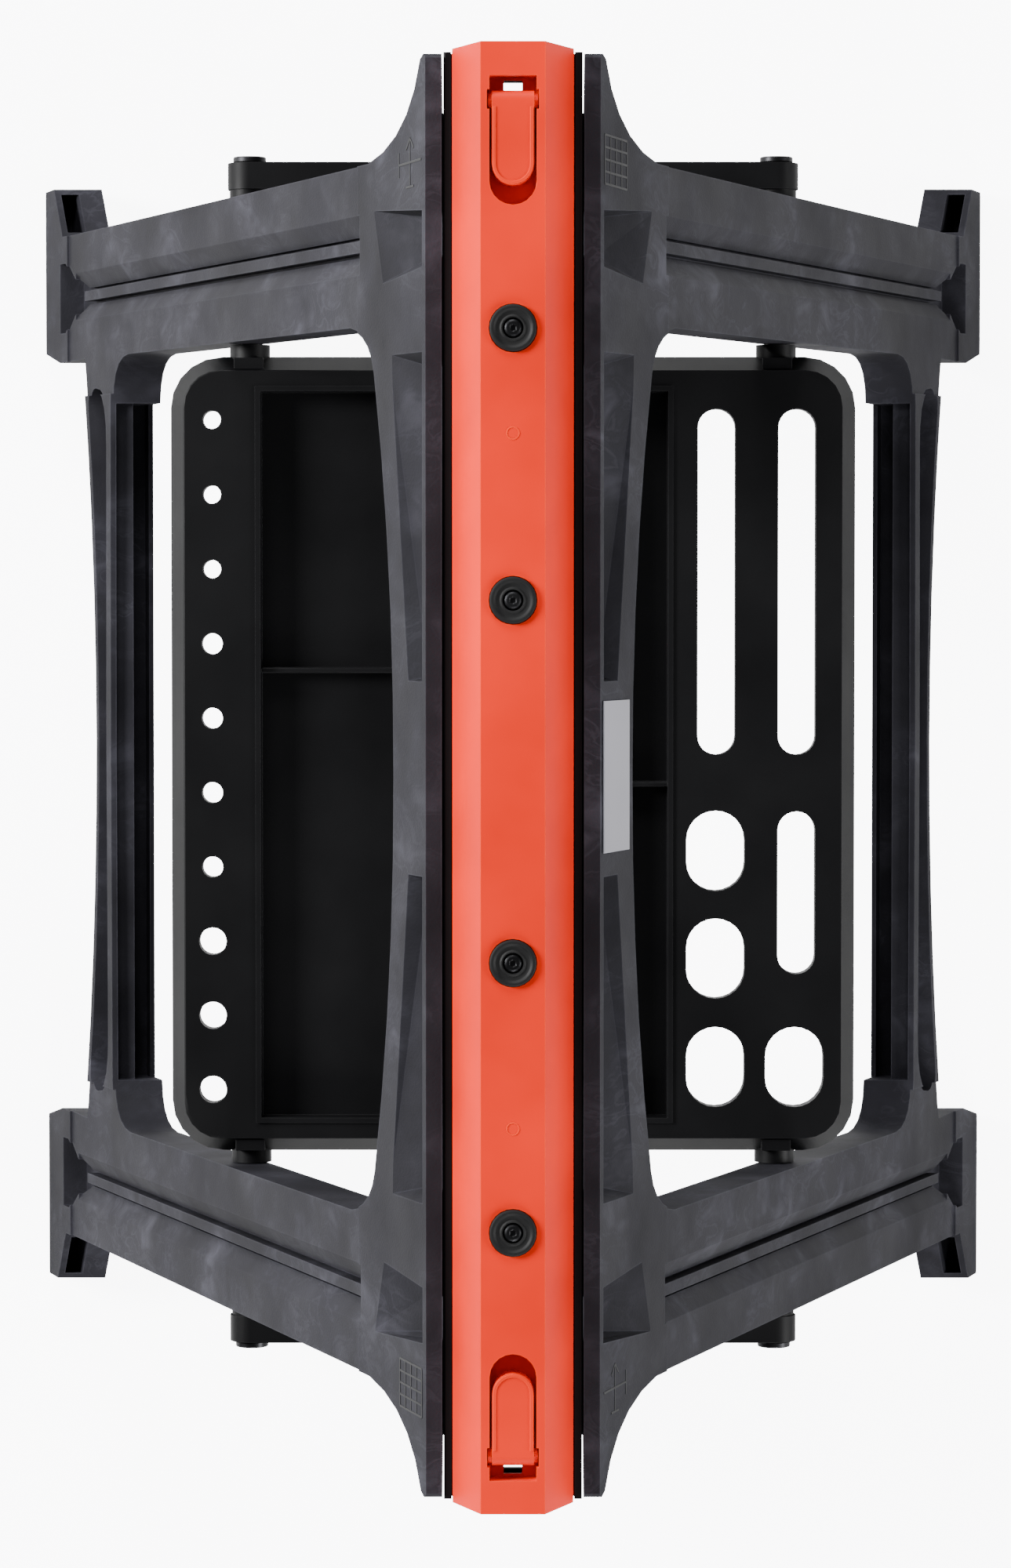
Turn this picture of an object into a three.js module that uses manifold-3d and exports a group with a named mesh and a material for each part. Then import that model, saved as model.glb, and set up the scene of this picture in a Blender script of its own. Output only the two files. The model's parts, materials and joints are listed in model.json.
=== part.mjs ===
// Folding work trestle (sawhorse): two moulded A-frame legs hinged to a spine under a padded top
// cap, a two-part tool tray and outside braces that hold the legs apart, and two flip-up work
// stops. Millimetres, +Z up, origin on the floor below the middle of the beam. X runs across the
// spread of the legs and Y along the beam.

import * as THREE from "three";
import { ConvexGeometry } from "three/addons/geometries/ConvexGeometry.js";
import { mergeVertices } from "three/addons/utils/BufferGeometryUtils.js";
import Module from "manifold-3d";

const wasm = await Module();
wasm.setup();

// ---------------------------------------------------------------- driving dimensions
const GAP = 0.3; // kept between pieces that touch
const BEAM_HALF = 343; // half the length of the top cap
const TOP_Z = 810; // top face of the cap
const PAST = 400; // beyond everything, for cutters

// Top cap: flat top, steep shoulders, short skirt
const CAP = { top: 15.1, side: 28.6, shoulderZ: 780, skirtZ: 772, wall: 3.5, ribZ: 781, rib: 2.5 };
const CAP_RIBS = [-250, -126, 0, 126, 250];

// Spine: a channel, open below, with lips that hold the cap's skirt
const SPINE = { half: 341.5, side: 32.7, lipX: 29.1, lipZ: 779, deckZ: 771.5, deck: 4, skirtZ: 754.5 };
const LAMP_HOLE = { half: 7, play: 2 }; // lets light through below the slot at each end of the cap
const SPINE_RIBS = [-339, -170, -42, 42, 170, 339];

// Grip pads on the cap, each held by a screw into a post of the spine
const PAD_YS = [-210.7, -84.5, 84.5, 210.7];
const PAD = { r: 11, baseZ: 807.8, topZ: 811.8, wellR: 4.9, wellZ: 809.2, bore: 2.9 };
const POST = { r: 6.5, topZ: 802.4 };
const SCREW = { head: 4.4, headZ: 811, shank: 2.4, tipZ: 776, crown: 3, socket: 1.7 };

// Flip-up stops in wells near both ends of the cap
const WELL = { half: 10.95, y0: 267.6, y1: 327.3, floorZ: 797, wall: 3 };
const STOP = { half: 9.85, y0: 276.7, pivotY: 316, pivotZ: 804.8, thick: 9.4, trunnion: 3.4, reach: 11.7 };
const EAR = { half: 12.1, y0: 311.8, y1: 321 };
const LIGHT_SLOT = { half: 4.35, y0: 321.6, y1: 326.2 };

// Leg frame: flat, 30 deep, sheared outward so that its outer face follows the spread
const RAIL_TOP = 780;
const LEG_TOP_X = 41.2; // outer face at the top of the rail
const SLOPE = 0.328; // outward run for each millimetre of drop
const LEG_DEPTH = 30;
const SKIN = 4;
const SHOE_Z = 5.3; // underside of the moulded foot, above its rubber pad
const SILL_Z = 170;

// Arms, by share of their width: a trough with sloping sides, two slits and a ridge between them
const ARM = { lowZ: 62, highZ: 672, setBack: 1.6 };
const TROUGH = { z0: 78, z1: 676, edge: 0.31, floor: 0.435, slit: 0.025 };
const TROUGH_DEPTH = { floor: 8.5, slit: 12.5, ridge: 5.2 };
const TROUGH_END = { z0: 44, z1: 58, z2: 86, wide: 0.22, narrow: 0.42, depth: 15 };
const CELL = { bays: 5, z0: 92, z1: 690, rib: 2.6, middle: 17, clear: 30 };
const RAIL_POCKET = { small: 14, long: 12, shallow: 9 };

// Low rail, by depth from its outer face: a lip, a ledge, then a deep channel with a low back wall
const LOW_RAIL = { lip: 3.5, ledgeZ: 166, channel: 15, channelZ: 146, back: 27.2, backZ: 154, half: 203 };
const RAIL_RECESS = 11;
const TOE_CUP = { from: 4, to: 15, y0: 314.5, y1: 339.5, z0: 13, z1: 60 };

// Hinge between the spine and a leg
const HINGE = { x: 16, z: 742, barrel: 9, pin: 4, bore: 4.4, station: 262, lug: 9.5, knuckle: 12 };

// Pivot of the tray and braces on a leg
const PIVOT = { x: 144.5, z: 400, pin: 5, bore: 5.4, legBore: 5.6, boss: 11, legBoss: 8.8 };

// Tray half: a deck with a sloped rim, a deep pocket and slots or holes for tools
const TRAY = { innerX: 35, outerX: 188, half: 218.5, deckZ: 418, rimZ: 404, slant: 8, corner: 28, wall: 3 };
const POCKET = { x0: 57, half: 199, floorZ: 404, lip: 3, lipZ: 419.2, dividerZ: 414 };
const TRAY_LUG = { r: 8, thick: 8, lanes: [[120, 142], [-168, -146]], notch: 18.5, play: 2 };

// Braces outside the legs, lapped at the middle
const BRACE = { y0: 310, y1: 324.5, lap: 317, half: 12, tongue: 56, tip: 11 };
const RIVET = { r: 3, head: 6, headThick: 2.5 };

// ---------------------------------------------------------------- materials
const plastic = (colour, roughness) =>
  new THREE.MeshStandardMaterial({ color: colour, roughness, metalness: 0 });
const steel = new THREE.MeshStandardMaterial({ color: 0xa8aaad, roughness: 0.35, metalness: 1 });
const orange = plastic(0xf0552d, 0.42);
const grey = plastic(0x4b494f, 0.7);
const black = plastic(0x141417, 0.45);
const rubber = plastic(0x17181a, 0.8);
const film = plastic(0x8b8b96, 0.5);

// ---------------------------------------------------------------- solids
function solid(geometry) {
  const flat = geometry.index ? geometry.toNonIndexed() : geometry;
  const bare = new THREE.BufferGeometry().setAttribute("position", flat.getAttribute("position"));
  const merged = mergeVertices(bare, 1e-4);
  const vertProperties = merged.attributes.position.array;
  const triVerts = new Uint32Array(merged.index.array);
  return new wasm.Manifold(new wasm.Mesh({ numProp: 3, vertProperties, triVerts }));
}

function geometryOf(body) {
  const { numProp, numVert, vertProperties, triVerts } = body.getMesh();
  const places = new Float32Array(numVert * 3);
  for (let i = 0; i < numVert; i++) {
    places.set(vertProperties.subarray(i * numProp, i * numProp + 3), i * 3);
  }
  const geometry = new THREE.BufferGeometry();
  geometry.setAttribute("position", new THREE.BufferAttribute(places, 3));
  geometry.setIndex(new THREE.BufferAttribute(triVerts, 1));
  return geometry;
}

function box(x0, x1, y0, y1, z0, z1) {
  const geometry = new THREE.BoxGeometry(x1 - x0, y1 - y0, z1 - z0);
  return solid(geometry.translate((x0 + x1) / 2, (y0 + y1) / 2, (z0 + z1) / 2));
}

function rodY(r, y0, y1, x, z, sides = 14) {
  const geometry = new THREE.CylinderGeometry(r, r, y1 - y0, sides);
  return solid(geometry.translate(x, (y0 + y1) / 2, z));
}

function rodZ(r, z0, z1, x, y, sides = 14) {
  const geometry = new THREE.CylinderGeometry(r, r, z1 - z0, sides).rotateX(Math.PI / 2);
  return solid(geometry.translate(x, y, (z0 + z1) / 2));
}

function rodX(r, x0, x1, y, z, sides = 14) {
  const geometry = new THREE.CylinderGeometry(r, r, x1 - x0, sides).rotateZ(Math.PI / 2);
  return solid(geometry.translate((x0 + x1) / 2, y, z));
}

const hull = (points) => solid(new ConvexGeometry(points.map((p) => new THREE.Vector3(...p))));

// A shape drawn in two axes and given thickness along the third.
function plate(shape, thick, first, second, third) {
  const geometry = new THREE.ExtrudeGeometry(shape, { depth: thick, bevelEnabled: false });
  return geometry.applyMatrix4(new THREE.Matrix4().makeBasis(first, second, third));
}
const AXIS_X = new THREE.Vector3(1, 0, 0);
const AXIS_Y = new THREE.Vector3(0, 1, 0);
const AXIS_Z = new THREE.Vector3(0, 0, 1);
const plateX = (shape, x0, x1) =>
  solid(plate(shape, x1 - x0, AXIS_Y, AXIS_Z, AXIS_X).translate(x0, 0, 0));
const plateY = (shape, y0, y1) =>
  solid(plate(shape, y1 - y0, AXIS_X, AXIS_Z, AXIS_Y.clone().negate()).translate(0, y1, 0));
const plateZ = (shape, z0, z1) =>
  solid(plate(shape, z1 - z0, AXIS_X, AXIS_Y, AXIS_Z).translate(0, 0, z0));

const polygon = (points) => new THREE.Shape(points.map(([a, b]) => new THREE.Vector2(a, b)));
const joined = (bodies) => bodies.reduce((whole, body) => whole.add(body));
const without = (whole, cuts) => cuts.reduce((rest, cut) => rest.subtract(cut), whole);
const atBothEnds = (make) => [make(1), make(-1)];

// A box near the +Y end, or the same one mirrored to the -Y end.
const endBox = (end, x0, x1, y0, y1, z0, z1) =>
  end > 0 ? box(x0, x1, y0, y1, z0, z1) : box(x0, x1, -y1, -y0, z0, z1);
const endRod = (end, r, y0, y1, x, z, sides) =>
  end > 0 ? rodY(r, y0, y1, x, z, sides) : rodY(r, -y1, -y0, x, z, sides);

function place(name, body, material, parent) {
  const mesh = new THREE.Mesh(geometryOf(body), material);
  mesh.name = name;
  parent.add(mesh);
}

// ---------------------------------------------------------------- top cap
const shoulderRun = (CAP.side - CAP.top) / (TOP_Z - CAP.shoulderZ);
const shoulderX = (z) => CAP.side - (z - CAP.shoulderZ) * shoulderRun;

function capOutline() {
  return polygon([
    [-CAP.side, CAP.skirtZ],
    [CAP.side, CAP.skirtZ],
    [CAP.side, CAP.shoulderZ],
    [CAP.top, TOP_Z],
    [-CAP.top, TOP_Z],
    [-CAP.side, CAP.shoulderZ],
  ]);
}

function capRoom() {
  const roof = TOP_Z - CAP.wall;
  const side = CAP.side - CAP.wall;
  const peak = shoulderX(roof) - CAP.wall;
  return polygon([
    [-side, CAP.skirtZ - 1],
    [side, CAP.skirtZ - 1],
    [side, CAP.shoulderZ],
    [peak, roof],
    [-peak, roof],
    [-side, CAP.shoulderZ],
  ]);
}

function capRib(y) {
  const foot = shoulderX(CAP.ribZ) - 1;
  const crown = CAP.top - 1;
  const rib = polygon([[-foot, CAP.ribZ], [foot, CAP.ribZ], [crown, TOP_Z - 1], [-crown, TOP_Z - 1]]);
  return plateY(rib, y - CAP.rib / 2, y + CAP.rib / 2);
}

function padSeat(cap, y) {
  const bossR = PAD.r + 3;
  const boss = rodZ(bossR, POST.topZ + GAP, TOP_Z - 1, 0, y, 16);
  const seat = rodZ(PAD.r + GAP, PAD.baseZ - GAP, TOP_Z + 1, 0, y, 24);
  return cap.add(boss).subtract(seat).subtract(rodZ(PAD.bore, POST.topZ - 1, TOP_Z, 0, y, 10));
}

function wellBlock(end) {
  const reach = WELL.half + WELL.wall;
  return endBox(end, -reach, reach, WELL.y0 - 3, WELL.y1 + 3, WELL.floorZ - WELL.wall, TOP_Z - 1);
}

function wellRoom(end) {
  const { half, y0, y1, floorZ } = WELL;
  const high = TOP_Z + 1;
  return joined([
    rodZ(half, floorZ, high, 0, end * (y0 + half), 20),
    endBox(end, -half, half, y0 + half, y1, floorZ, high),
    endBox(end, -EAR.half, EAR.half, EAR.y0, EAR.y1, floorZ + 3, high),
    endBox(end, -LIGHT_SLOT.half, LIGHT_SLOT.half, LIGHT_SLOT.y0, LIGHT_SLOT.y1, floorZ - 5, floorZ + 1),
  ]);
}

function topCap() {
  let cap = plateY(capOutline(), -BEAM_HALF, BEAM_HALF);
  cap = cap.subtract(plateY(capRoom(), CAP.wall - BEAM_HALF, BEAM_HALF - CAP.wall));
  for (const y of CAP_RIBS) cap = cap.add(capRib(y));
  for (const y of PAD_YS) cap = padSeat(cap, y);
  for (const end of [-1, 1]) cap = cap.add(wellBlock(end)).subtract(wellRoom(end));
  return cap;
}

// ---------------------------------------------------------------- flip-up stop
function flipStop(end) {
  const { half, y0, pivotY, pivotZ, thick, trunnion, reach } = STOP;
  const top = pivotZ + thick / 2;
  const low = pivotZ - thick / 2;
  return joined([
    rodZ(half, low, top, 0, end * (y0 + half), 20),
    endBox(end, -half, half, y0 + half, pivotY, low, top),
    rodX(thick / 2, -half, half, end * pivotY, pivotZ, 16),
    rodX(trunnion, -reach, reach, end * pivotY, pivotZ, 10),
  ]);
}

// ---------------------------------------------------------------- pads and screws
function gripPad(y) {
  const { r, baseZ, topZ, wellR, wellZ, bore } = PAD;
  const body = rodZ(r, baseZ, topZ, 0, y, 24);
  return without(body, [rodZ(wellR, wellZ, topZ + 1, 0, y), rodZ(bore, baseZ - 1, topZ, 0, y, 10)]);
}

function padScrew(y) {
  const { head, headZ, shank, tipZ, crown, socket } = SCREW;
  const seat = PAD.wellZ + GAP;
  const tip = [[0, tipZ], [shank, tipZ + 3], [shank, seat]];
  const profile = [...tip, [head, seat], [head, headZ - 0.7], [crown, headZ], [0, headZ]];
  const points = profile.map(([r, z]) => new THREE.Vector2(r, z));
  const turned = new THREE.LatheGeometry(points, 12).rotateX(Math.PI / 2).translate(0, y, 0);
  return solid(turned).subtract(rodZ(socket, headZ - 1, headZ + 1, 0, y, 6));
}

// ---------------------------------------------------------------- spine
function spineLug(side, end) {
  const { x, z, barrel, station, lug } = HINGE;
  const y = end * station;
  const eye = rodY(barrel, y - lug, y + lug, side * x, z);
  return eye.add(box(side * x - barrel, side * x + barrel, y - lug, y + lug, z, SPINE.deckZ - 1));
}

function spineBeam() {
  const { half, side, lipX, lipZ, deckZ, deck, skirtZ } = SPINE;
  let body = box(-side, side, -half, half, deckZ - deck, deckZ);
  body = body.add(box(lipX, side, -half, half, skirtZ, lipZ));
  body = body.add(box(-side, -lipX, -half, half, skirtZ, lipZ));
  for (const y of SPINE_RIBS) body = body.add(box(-side, side, y - 2, y + 2, skirtZ, deckZ - 1));
  for (const y of PAD_YS) {
    body = body.add(rodZ(POST.r, deckZ - 1, POST.topZ, 0, y, 12));
    body = body.subtract(rodZ(PAD.bore, SCREW.tipZ - 2, POST.topZ + 1, 0, y, 10));
  }
  for (const end of [-1, 1]) {
    for (const lugSide of [-1, 1]) {
      body = body.add(spineLug(lugSide, end));
      const y = end * HINGE.station;
      body = body.subtract(rodY(HINGE.bore, y - 20, y + 20, lugSide * HINGE.x, HINGE.z));
    }
    const { half: reach, play } = LAMP_HOLE;
    const [y0, y1] = [LIGHT_SLOT.y0 - play, LIGHT_SLOT.y1 + play];
    body = body.subtract(endBox(end, -reach, reach, y0, y1, 700, deckZ + 1));
  }
  return body;
}

function hingePin(end) {
  const { x, z, pin, station, lug, knuckle } = HINGE;
  const reach = lug + knuckle + 2;
  const shank = endRod(end, pin, station - reach, station + reach, x, z);
  return shank.add(endRod(end, 5.6, station + reach, station + reach + 2.5, x, z, 16));
}

// ---------------------------------------------------------------- leg frame
const insideY = (z) => 222 + (9 * (603 - z)) / 392; // window side of an arm
const outsideY = (z) => 297.5 + (12 * (690 - z)) / 543; // end side of an arm
const acrossArm = (share, z) => insideY(z) + share * (outsideY(z) - insideY(z));

// Half an outline on the +Y side of the middle, made whole by mirroring.
function mirrored(path) {
  const half = path.getPoints(5);
  const other = half.filter((p) => p.x > 0.01).map((p) => new THREE.Vector2(-p.x, p.y));
  return new THREE.Shape([...half, ...other.reverse()]);
}

function legOutline() {
  const path = new THREE.Path();
  path.moveTo(339, RAIL_TOP);
  path.lineTo(341, RAIL_TOP - 3);
  path.lineTo(339, RAIL_TOP - 8);
  path.quadraticCurveTo(303, 755, 297.5, 690);
  path.lineTo(outsideY(50), 50);
  path.lineTo(343, 28);
  path.lineTo(343, SHOE_Z);
  path.lineTo(241, SHOE_Z);
  path.lineTo(233.5, 43);
  path.lineTo(233.5, 101);
  path.lineTo(224, 104);
  path.quadraticCurveTo(110, 134, 0, 134);
  return path;
}

function legWindow() {
  const path = new THREE.Path();
  path.moveTo(0, 730);
  path.quadraticCurveTo(100, 731, 195, 699);
  path.quadraticCurveTo(215, 692, 219.5, 655);
  path.lineTo(230.5, SILL_Z + 38);
  path.quadraticCurveTo(230, SILL_Z + 3, 203, SILL_Z + 1.5);
  path.lineTo(0, SILL_Z);
  return path;
}

function railRecess() {
  const path = new THREE.Path();
  path.moveTo(0, SILL_Z - 11);
  path.lineTo(176, SILL_Z - 9);
  path.quadraticCurveTo(214, SILL_Z - 8, 214, 128);
  path.quadraticCurveTo(214, 114, 200, 116.5);
  path.quadraticCurveTo(110, 140, 0, 140.5);
  return mirrored(path);
}

// A strip of both arms between two shares of their width, two heights and two depths.
const armStrips = (a, b, z0, z1, depth0, depth1) =>
  atBothEnds((end) => {
    const corners = [[a, z0], [b, z0], [b, z1], [a, z1]];
    const points = corners.map(([share, z]) => [end * acrossArm(share, z), z]);
    return plateX(polygon(end > 0 ? points : points.reverse()), -depth1, -depth0);
  });

// A tapered hollow at both ends of the frame, from corners given as depth, Y and Z.
const taperedHollows = (corners) =>
  atBothEnds((end) => hull(corners.map(([depth, y, z]) => [-depth, end * y, z])));

// The trough along both arms.
function armTrough() {
  const { z0, z1, edge, floor, slit } = TROUGH;
  const depth = TROUGH_DEPTH;
  const side = (rim, deep, middle) =>
    taperedHollows(
      [z0, z1].flatMap((z) => [
        [-1, acrossArm(rim, z), z],
        [ARM.setBack, acrossArm(rim, z), z],
        [depth.floor, acrossArm(deep, z), z],
        [depth.floor, acrossArm(middle, z), z],
        [-1, acrossArm(middle, z), z],
      ]),
    );
  const inner = floor + slit;
  return [
    ...side(edge, floor, inner),
    ...side(1 - edge, 1 - floor, 1 - inner),
    ...armStrips(floor, inner, z0, z1, depth.floor - 1, depth.slit),
    ...armStrips(1 - inner, 1 - floor, z0, z1, depth.floor - 1, depth.slit),
    ...armStrips(inner - 0.01, 1.01 - inner, z0, z1, -1, depth.ridge),
  ];
}

// The deep end of the trough above each foot, narrowing upwards.
function troughEnd() {
  const { z0, z1, z2, wide, narrow, depth } = TROUGH_END;
  const rim = [[wide, z0], [1 - wide, z0], [1 - wide, z1], [1 - narrow, z2], [narrow, z2], [wide, z1]];
  return taperedHollows(rim.flatMap(([share, z]) => [-1, depth].map((d) => [d, acrossArm(share, z), z])));
}

// Pockets in the face of the top rail: a flat floor by the spine and a long slope away from it.
function railPockets() {
  const { small, long, shallow } = RAIL_POCKET;
  return [
    ...taperedHollows([
      [-1, 241, 775], [-1, 268, 775], [-1, 274, 697], [-1, 237, 712],
      [small, 248, 774], [small, 267, 774], [small, 267, 744], [small, 248, 744],
    ]),
    ...taperedHollows([
      [-1, 202, 775], [-1, 46, 775], [-1, 46, 753], [-1, 203, 726],
      [long, 195, 774], [shallow, 48, 774], [shallow, 48, 757], [long, 195, 756],
    ]),
  ];
}

function lowRailHollows() {
  const { lip, ledgeZ, channel, channelZ, back, backZ, half } = LOW_RAIL;
  const past = -LEG_DEPTH - 1;
  return [
    plateX(railRecess(), -RAIL_RECESS, 1),
    box(past, -lip, -half, half, ledgeZ, SILL_Z + 8),
    box(-back, -channel, -half, half, channelZ, ledgeZ + 1),
    box(past, -back + 1, -half, half, backZ, ledgeZ + 1),
  ];
}

function outerHollows() {
  const { from, to, y0, y1, z0, z1 } = TOE_CUP;
  return [
    ...armStrips(-0.3, 1.3, ARM.lowZ, ARM.highZ, -1, ARM.setBack),
    ...armTrough(),
    ...troughEnd(),
    ...railPockets(),
    ...lowRailHollows(),
    ...atBothEnds((end) => endBox(end, -to, -from, y0, y1, z0, z1)),
  ];
}

// Ribbed cells, open towards the middle of the trestle.
function innerCells() {
  const { bays, z0, z1, rib, middle, clear } = CELL;
  const past = LEG_DEPTH + 1;
  const pitch = (z1 - z0) / bays;
  const cells = [];
  for (let i = 0; i < bays; i++) {
    const low = z0 + i * pitch + rib / 2;
    const high = low + pitch - rib;
    cells.push(...armStrips(0.05, 0.3, low, high, SKIN + ARM.setBack, past));
    cells.push(...armStrips(0.7, 0.95, low, high, SKIN + ARM.setBack, past));
  }
  cells.push(...armStrips(0.34, 0.66, z0 + rib, PIVOT.z - clear, middle, past));
  cells.push(...armStrips(0.34, 0.66, PIVOT.z + clear, z1, middle, past));
  return cells;
}

const SPREAD = new THREE.Matrix4().makeShear(0, 0, 0, 0, -SLOPE, 0);
SPREAD.setPosition(LEG_TOP_X + SLOPE * RAIL_TOP, 0, 0);
const spread = (body) => solid(geometryOf(body).applyMatrix4(SPREAD));

// Knuckles either side of each spine lug, and the room that the lug turns in.
function withKnuckles(leg, end) {
  const { x, z, barrel, bore, station, lug, knuckle } = HINGE;
  const lane = lug + 0.9;
  let body = leg;
  for (const near of [station - lane - knuckle, station + lane]) {
    body = body.add(endRod(end, barrel, near, near + knuckle, x, z));
    body = body.add(endBox(end, x, x + 14, near, near + knuckle, z - 8, z + 6));
  }
  body = body.subtract(endBox(end, x - 14, x + 11.5, station - lane, station + lane, z - 11.5, 800));
  const headRoom = endRod(end, 7, station + lane + knuckle, station + lane + knuckle + 12, x, z);
  return body.subtract(headRoom).subtract(endRod(end, bore, station - 40, station + 40, x, z));
}

function legFrame() {
  let frame = plateX(mirrored(legOutline()), -LEG_DEPTH, 0);
  frame = frame.subtract(plateX(mirrored(legWindow()), -LEG_DEPTH - 1, 1));
  frame = without(frame, [...outerHollows(), ...innerCells()]);
  let leg = spread(frame);
  leg = leg.subtract(box(-60, SPINE.side + 0.8, -PAST, PAST, SPINE.skirtZ - 3, 820));
  for (const end of [-1, 1]) {
    leg = withKnuckles(leg, end);
    leg = leg.add(endRod(end, PIVOT.legBoss, 227.2, 303.4, PIVOT.x, PIVOT.z));
  }
  return leg.subtract(rodY(PIVOT.legBore, -PAST, PAST, PIVOT.x, PIVOT.z));
}

function footPad(end) {
  const sole = endBox(end, -LEG_DEPTH + 1, -1, 242, 342, 0, SHOE_Z - GAP);
  return spread(sole);
}

function railLabel() {
  return spread(box(GAP, GAP + 0.8, -35, 37, 738, 777));
}

// ---------------------------------------------------------------- tray
// Points of a rounded outline at one height; only the corners away from the middle are round.
function trayRing(inset, r, z) {
  const x1 = TRAY.outerX - inset;
  const y1 = TRAY.half - inset;
  const ring = [[TRAY.innerX, -y1, z], [TRAY.innerX, y1, z]];
  for (let i = 0; i <= 5; i++) {
    const turn = (i * Math.PI) / 10;
    const x = x1 - r + r * Math.cos(turn);
    const y = y1 - r + r * Math.sin(turn);
    ring.push([x, y, z], [x, -y, z]);
  }
  return ring;
}

function trayShell() {
  const { slant, corner, wall, deckZ, rimZ } = TRAY;
  const outer = hull([...trayRing(0, corner, rimZ), ...trayRing(slant, corner - slant, deckZ)]);
  const room = hull([
    ...trayRing(wall, corner - wall, rimZ - 1),
    ...trayRing(wall + slant, corner - slant - wall, deckZ - wall),
  ]);
  const inside = box(TRAY.innerX + wall, PAST, -PAST, PAST, 0, deckZ);
  return outer.subtract(room.intersect(inside));
}

function slot({ x0: a, x1: b, y0: c, y1: d }, z0, z1) {
  const r = Math.min(b - a, d - c) / 2;
  const path = new THREE.Shape();
  path.moveTo(a + r, c);
  path.absarc(b - r, c + r, r, -Math.PI / 2, 0, false);
  path.absarc(b - r, d - r, r, 0, Math.PI / 2, false);
  path.absarc(a + r, d - r, r, Math.PI / 2, Math.PI, false);
  path.absarc(a + r, c + r, r, Math.PI, Math.PI * 1.5, false);
  const points = path.getPoints(3).filter((p, i, all) => i === 0 || p.distanceTo(all[i - 1]) > 0.01);
  if (points[0].distanceTo(points[points.length - 1]) < 0.01) points.pop();
  return plateZ(new THREE.Shape(points), z0, z1);
}

const hole = (x, y, r) => ({ x0: x - r, x1: x + r, y0: y - r, y1: y + r });

// Slots of the right half, in its own frame
const RIGHT_OPENINGS = [
  { x0: 101, x1: 121.6, y0: 0.4, y1: 189.6 },
  { x0: 145, x1: 165.6, y0: 0.4, y1: 189.6 },
  { x0: 145, x1: 165.6, y0: -120, y1: -30.7 },
  { x0: 95, x1: 127, y0: -74.4, y1: -30.3 },
  { x0: 95, x1: 127, y0: -133.5, y1: -89.5 },
  { x0: 95, x1: 127, y0: -193.2, y1: -149.1 },
  { x0: 138.4, x1: 170.4, y0: -193.2, y1: -149.1 },
];

// Tool holes of the left half, in its own frame, smallest first
const TOOL_ROW = { x: 164.6, pitch: 40.8, radii: [5, 5, 5, 5.75, 5.75, 5.75, 5.75, 7.5, 7.5, 7.5] };
const LEFT_OPENINGS = TOOL_ROW.radii.map((r, i) => {
  const first = -(TOOL_ROW.radii.length - 1) / 2;
  return hole(TOOL_ROW.x, (first + i) * TOOL_ROW.pitch, r);
});

function hingeNotches(body) {
  const { lanes, notch, play } = TRAY_LUG;
  const { innerX, rimZ, deckZ, wall } = TRAY;
  let half = body;
  for (const [y0, y1] of lanes) {
    const [low, high] = [-y1 - play, -y0 + play];
    half = half.add(box(innerX, innerX + notch + wall, low - wall, high + wall, rimZ, deckZ));
    half = half.subtract(box(innerX - 2, innerX + notch, low, high, rimZ - 20, deckZ + 20));
  }
  return half;
}

function trayLug([y0, y1]) {
  const { r, thick } = TRAY_LUG;
  const arm = box(0, TRAY.innerX + 8, y0, y1, PIVOT.z - 2, PIVOT.z + thick + 2);
  return rodY(r, y0, y1, 0, PIVOT.z).add(arm);
}

function trayHalf(openings, pocketX1, dividerY) {
  const { deckZ, rimZ, wall, half } = TRAY;
  const { x0, floorZ, lip, lipZ, dividerZ } = POCKET;
  const y1 = POCKET.half;
  let tray = hingeNotches(trayShell());
  for (const y of [-140, -60, 20, 100]) {
    tray = tray.add(box(TRAY.innerX + 24, TRAY.outerX - 12, y - 1.1, y + 1.1, rimZ + 2, deckZ - 1));
  }
  tray = tray.add(box(x0 - lip, pocketX1 + lip, -y1 - lip, y1 + lip, floorZ - wall, lipZ));
  tray = tray.subtract(box(x0, pocketX1, -y1, y1, floorZ, lipZ + 1));
  tray = tray.add(box(x0 - 1, pocketX1 + 1, dividerY - 1.25, dividerY + 1.25, floorZ - 1, dividerZ));
  for (const opening of openings) {
    const { x0: a, x1: b, y0: c, y1: d } = opening;
    tray = tray.add(box(a - 2.2, b + 2.2, c - 2.2, d + 2.2, rimZ + 2, deckZ - 1));
    tray = tray.subtract(slot(opening, rimZ - 10, deckZ + 5));
  }
  for (const lane of TRAY_LUG.lanes) tray = tray.add(trayLug(lane));
  for (const end of [-1, 1]) {
    const boss = endRod(end, PIVOT.boss, half - 8, half + 6.6, PIVOT.x, PIVOT.z, 16);
    const web = endBox(end, PIVOT.x - 8, PIVOT.x + 8, half - 8, half - 1, PIVOT.z, deckZ - 2);
    tray = tray.add(boss).add(web);
  }
  tray = tray.subtract(rodY(PIVOT.bore, -PAST, PAST, PIVOT.x, PIVOT.z));
  return tray.subtract(rodY(RIVET.r + GAP, -PAST, PAST, 0, PIVOT.z, 12));
}

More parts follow.
